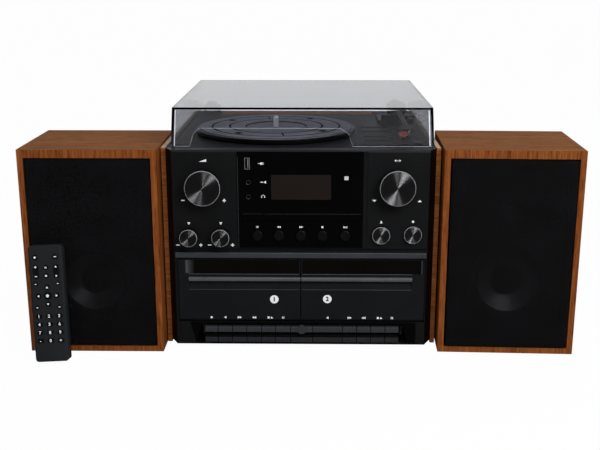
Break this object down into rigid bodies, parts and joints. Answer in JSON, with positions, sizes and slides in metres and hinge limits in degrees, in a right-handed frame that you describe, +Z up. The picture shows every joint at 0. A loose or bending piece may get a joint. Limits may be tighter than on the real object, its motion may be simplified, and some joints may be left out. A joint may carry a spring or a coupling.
{
  "type": "stereo music centre",
  "caption": "Stereo music centre: belt-driven turntable under a smoked lid, disc tray, cassette decks, radio controls, wooden bookshelf speakers and a remote control",
  "frame": {"origin": "on the table, under the middle of the whole set", "axes": "+X to the right as seen from the front, +Y to the back, +Z up"},
  "size_m": [0.7089, 0.41, 0.3145],
  "materials": {
    "walnut_veneer": "satin walnut-coloured foil",
    "black_plastic": "fine satin moulding",
    "chassis_plastic": "plain",
    "gloss_black": "polished",
    "circuit_board": "green solder mask",
    "grey_plastic": "plain",
    "plated_steel": "zinc plated",
    "socket_black": "plain",
    "soft_rubber": "matt",
    "smoked_clear": "smoked clear acrylic",
    "platter_black": "semi-gloss",
    "mat_rubber": "matt, with turned rings",
    "pulley_brass": "turned",
    "arm_black": "satin",
    "red_plastic": "clear red plastic",
    "spun_metal": "spun face with a bright edge",
    "button_black": "semi-gloss",
    "tray_black": "polished",
    "door_black": "satin with a glossy window",
    "key_black": "satin",
    "grille_cloth": "stretched black cloth",
    "driver_cone": "paper cone and black frame",
    "remote_black": "satin",
    "keypad_rubber": "moulded"
  },
  "bodies": {
    "cabinet": {"base_chassis": "chassis_plastic", "left_cheek": "walnut_veneer", "right_cheek": "walnut_veneer", "rear_panel": "black_plastic", "front_panel": "black_plastic", "display_panel": "gloss_black", "lower_bezel": "black_plastic", "turntable_deck": "black_plastic", "main_board": "circuit_board", "cd_mechanism": "grey_plastic", "cassette_mechanisms": "grey_plastic", "platter_motor": "plated_steel", "arm_base": "black_plastic", "front_sockets": "socket_black", "feet": "soft_rubber", "drive_belt": "soft_rubber"},
    "lid": {"dust_cover": "smoked_clear"},
    "platter": {"platter": "platter_black", "platter_mat": "mat_rubber"},
    "pulley": {"motor_pulley": "pulley_brass"},
    "arm_carrier": {"arm_gimbal": "arm_black"},
    "arm": {"tonearm": "arm_black", "cartridge": "red_plastic"},
    "cue": {"cue_lever": "arm_black"},
    "speed": {"speed_switch": "arm_black"},
    "volume_push_rod": {"volume_shaft": "plated_steel"},
    "volume": {"volume_knob": "spun_metal"},
    "select_push_rod": {"select_shaft": "plated_steel"},
    "select": {"select_knob": "spun_metal"},
    "bass": {"bass_knob": "spun_metal"},
    "treble": {"treble_knob": "spun_metal"},
    "eject": {"eject_button": "spun_metal"},
    "record": {"record_button": "spun_metal"},
    "tray": {"cd_tray": "tray_black"},
    "door_1": {"cassette_door_1": "door_black"},
    "door_2": {"cassette_door_2": "door_black"},
    "left_speaker": {"left_cabinet": "walnut_veneer", "left_grille": "grille_cloth", "left_drivers": "driver_cone"},
    "right_speaker": {"right_cabinet": "walnut_veneer", "right_grille": "grille_cloth", "right_drivers": "driver_cone"},
    "remote": {"remote_shell": "remote_black", "remote_keypad": "keypad_rubber"},
    "button_1": {"round_button_1": "button_black"},
    "button_2": {"round_button_2": "button_black"},
    "button_3": {"round_button_3": "button_black"},
    "button_4": {"round_button_4": "button_black"},
    "button_5": {"round_button_5": "button_black"},
    "key_1_record_body": {"key_1_record": "key_black"},
    "key_1_play_body": {"key_1_play": "key_black"},
    "key_1_rewind_body": {"key_1_rewind": "key_black"},
    "key_1_forward_body": {"key_1_forward": "key_black"},
    "key_1_stop_body": {"key_1_stop": "key_black"},
    "key_1_pause_body": {"key_1_pause": "key_black"},
    "key_2_play_body": {"key_2_play": "key_black"},
    "key_2_rewind_body": {"key_2_rewind": "key_black"},
    "key_2_forward_body": {"key_2_forward": "key_black"},
    "key_2_stop_body": {"key_2_stop": "key_black"},
    "key_2_pause_body": {"key_2_pause": "key_black"}
  },
  "joints": [
    {"name": "lid_hinge", "type": "hinge", "parent": "cabinet", "child": "lid", "pos_m": [0, 0.1905, 0.2695], "axis": [-1, 0, 0], "range_deg": [0, 60]},
    {"name": "platter_spin", "type": "hinge", "parent": "cabinet", "child": "platter", "pos_m": [-0.036, -0.009, 0.27], "axis": [0, 0, -1], "continuous": true},
    {"name": "pulley_spin", "type": "hinge", "parent": "cabinet", "child": "pulley", "pos_m": [-0.106, 0.05, 0.266], "axis": [0, 0, -1], "continuous": true},
    {"name": "arm_swing", "type": "hinge", "parent": "cabinet", "child": "arm_carrier", "pos_m": [0.138, 0.092, 0.27], "axis": [0, 0, -1], "range_deg": [0, 42]},
    {"name": "arm_lift", "type": "hinge", "parent": "arm_carrier", "child": "arm", "pos_m": [0.138, 0.092, 0.283], "axis": [-1, 0, 0], "range_deg": [0, 5]},
    {"name": "cue_lever_turn", "type": "hinge", "parent": "cabinet", "child": "cue", "pos_m": [0.156, 0.0679, 0.2735], "axis": [-1, 0, 0], "range_deg": [0, 55]},
    {"name": "speed_slide", "type": "slide", "parent": "cabinet", "child": "speed", "axis": [0, 1, 0], "range_m": [-0.004, 0.004]},
    {"name": "volume_push", "type": "slide", "parent": "cabinet", "child": "volume_push_rod", "axis": [0, 1, 0], "range_m": [0, 0.001], "stiffness_N_per_m": 800, "springref_m": -0.0005},
    {"name": "volume_turn", "type": "hinge", "parent": "volume_push_rod", "child": "volume", "pos_m": [-0.1224, -0.16, 0.2182], "axis": [0, 1, 0], "continuous": true},
    {"name": "select_push", "type": "slide", "parent": "cabinet", "child": "select_push_rod", "axis": [0, 1, 0], "range_m": [0, 0.001], "stiffness_N_per_m": 800, "springref_m": -0.0005},
    {"name": "select_turn", "type": "hinge", "parent": "select_push_rod", "child": "select", "pos_m": [0.1213, -0.16, 0.2187], "axis": [0, 1, 0], "continuous": true},
    {"name": "bass_turn", "type": "hinge", "parent": "cabinet", "child": "bass", "pos_m": [-0.1421, -0.158, 0.1532], "axis": [0, 1, 0], "range_deg": [-140, 140]},
    {"name": "treble_turn", "type": "hinge", "parent": "cabinet", "child": "treble", "pos_m": [-0.1014, -0.158, 0.1534], "axis": [0, 1, 0], "range_deg": [-140, 140]},
    {"name": "eject_push", "type": "slide", "parent": "cabinet", "child": "eject", "axis": [0, 1, 0], "range_m": [0, 0.0015], "stiffness_N_per_m": 600, "springref_m": -0.0005},
    {"name": "record_push", "type": "slide", "parent": "cabinet", "child": "record", "axis": [0, 1, 0], "range_m": [0, 0.0015], "stiffness_N_per_m": 600, "springref_m": -0.0005},
    {"name": "button_1_push", "type": "slide", "parent": "cabinet", "child": "button_1", "axis": [0, 1, 0], "range_m": [0, 0.0015], "stiffness_N_per_m": 500, "springref_m": -0.0005},
    {"name": "button_2_push", "type": "slide", "parent": "cabinet", "child": "button_2", "axis": [0, 1, 0], "range_m": [0, 0.0015], "stiffness_N_per_m": 500, "springref_m": -0.0005},
    {"name": "button_3_push", "type": "slide", "parent": "cabinet", "child": "button_3", "axis": [0, 1, 0], "range_m": [0, 0.0015], "stiffness_N_per_m": 500, "springref_m": -0.0005},
    {"name": "button_4_push", "type": "slide", "parent": "cabinet", "child": "button_4", "axis": [0, 1, 0], "range_m": [0, 0.0015], "stiffness_N_per_m": 500, "springref_m": -0.0005},
    {"name": "button_5_push", "type": "slide", "parent": "cabinet", "child": "button_5", "axis": [0, 1, 0], "range_m": [0, 0.0015], "stiffness_N_per_m": 500, "springref_m": -0.0005},
    {"name": "tray_slide", "type": "slide", "parent": "cabinet", "child": "tray", "axis": [0, -1, 0], "range_m": [0, 0.13]},
    {"name": "door_1_hinge", "type": "hinge", "parent": "cabinet", "child": "door_1", "pos_m": [0, -0.1465, 0.0422], "axis": [1, 0, 0], "range_deg": [0, 25]},
    {"name": "door_2_hinge", "type": "hinge", "parent": "cabinet", "child": "door_2", "pos_m": [0, -0.1465, 0.0422], "axis": [1, 0, 0], "range_deg": [0, 25]},
    {"name": "key_1_record_press", "type": "hinge", "parent": "cabinet", "child": "key_1_record_body", "pos_m": [0, -0.112, 0.021], "axis": [1, 0, 0], "range_deg": [0, 3.6], "stiffness_Nm_per_rad": 0.5, "springref_deg": -4.58},
    {"name": "key_1_play_press", "type": "hinge", "parent": "cabinet", "child": "key_1_play_body", "pos_m": [0, -0.112, 0.021], "axis": [1, 0, 0], "range_deg": [0, 3.6], "stiffness_Nm_per_rad": 0.5, "springref_deg": -4.58},
    {"name": "key_1_rewind_press", "type": "hinge", "parent": "cabinet", "child": "key_1_rewind_body", "pos_m": [0, -0.112, 0.021], "axis": [1, 0, 0], "range_deg": [0, 3.6], "stiffness_Nm_per_rad": 0.5, "springref_deg": -4.58},
    {"name": "key_1_forward_press", "type": "hinge", "parent": "cabinet", "child": "key_1_forward_body", "pos_m": [0, -0.112, 0.021], "axis": [1, 0, 0], "range_deg": [0, 3.6], "stiffness_Nm_per_rad": 0.5, "springref_deg": -4.58},
    {"name": "key_1_stop_press", "type": "hinge", "parent": "cabinet", "child": "key_1_stop_body", "pos_m": [0, -0.112, 0.021], "axis": [1, 0, 0], "range_deg": [0, 3.6], "stiffness_Nm_per_rad": 0.5, "springref_deg": -4.58},
    {"name": "key_1_pause_press", "type": "hinge", "parent": "cabinet", "child": "key_1_pause_body", "pos_m": [0, -0.112, 0.021], "axis": [1, 0, 0], "range_deg": [0, 3.6], "stiffness_Nm_per_rad": 0.5, "springref_deg": -4.58},
    {"name": "key_2_play_press", "type": "hinge", "parent": "cabinet", "child": "key_2_play_body", "pos_m": [0, -0.112, 0.021], "axis": [1, 0, 0], "range_deg": [0, 3.6], "stiffness_Nm_per_rad": 0.5, "springref_deg": -4.58},
    {"name": "key_2_rewind_press", "type": "hinge", "parent": "cabinet", "child": "key_2_rewind_body", "pos_m": [0, -0.112, 0.021], "axis": [1, 0, 0], "range_deg": [0, 3.6], "stiffness_Nm_per_rad": 0.5, "springref_deg": -4.58},
    {"name": "key_2_forward_press", "type": "hinge", "parent": "cabinet", "child": "key_2_forward_body", "pos_m": [0, -0.112, 0.021], "axis": [1, 0, 0], "range_deg": [0, 3.6], "stiffness_Nm_per_rad": 0.5, "springref_deg": -4.58},
    {"name": "key_2_stop_press", "type": "hinge", "parent": "cabinet", "child": "key_2_stop_body", "pos_m": [0, -0.112, 0.021], "axis": [1, 0, 0], "range_deg": [0, 3.6], "stiffness_Nm_per_rad": 0.5, "springref_deg": -4.58},
    {"name": "key_2_pause_press", "type": "hinge", "parent": "cabinet", "child": "key_2_pause_body", "pos_m": [0, -0.112, 0.021], "axis": [1, 0, 0], "range_deg": [0, 3.6], "stiffness_Nm_per_rad": 0.5, "springref_deg": -4.58},
    {"name": "left_speaker_lift_off", "type": "slide", "parent": "cabinet", "child": "left_speaker", "axis": [-1, 0, 0], "range_m": [0, 0.3]},
    {"name": "right_speaker_lift_off", "type": "slide", "parent": "cabinet", "child": "right_speaker", "axis": [1, 0, 0], "range_m": [0, 0.3]},
    {"name": "remote_lift_off", "type": "slide", "parent": "cabinet", "child": "remote", "axis": [0, -1, 0], "range_m": [0, 0.2]}
  ],
  "couplings": [
    {"joint": "pulley_spin", "follows": "platter_spin", "ratio": 15}
  ]
}
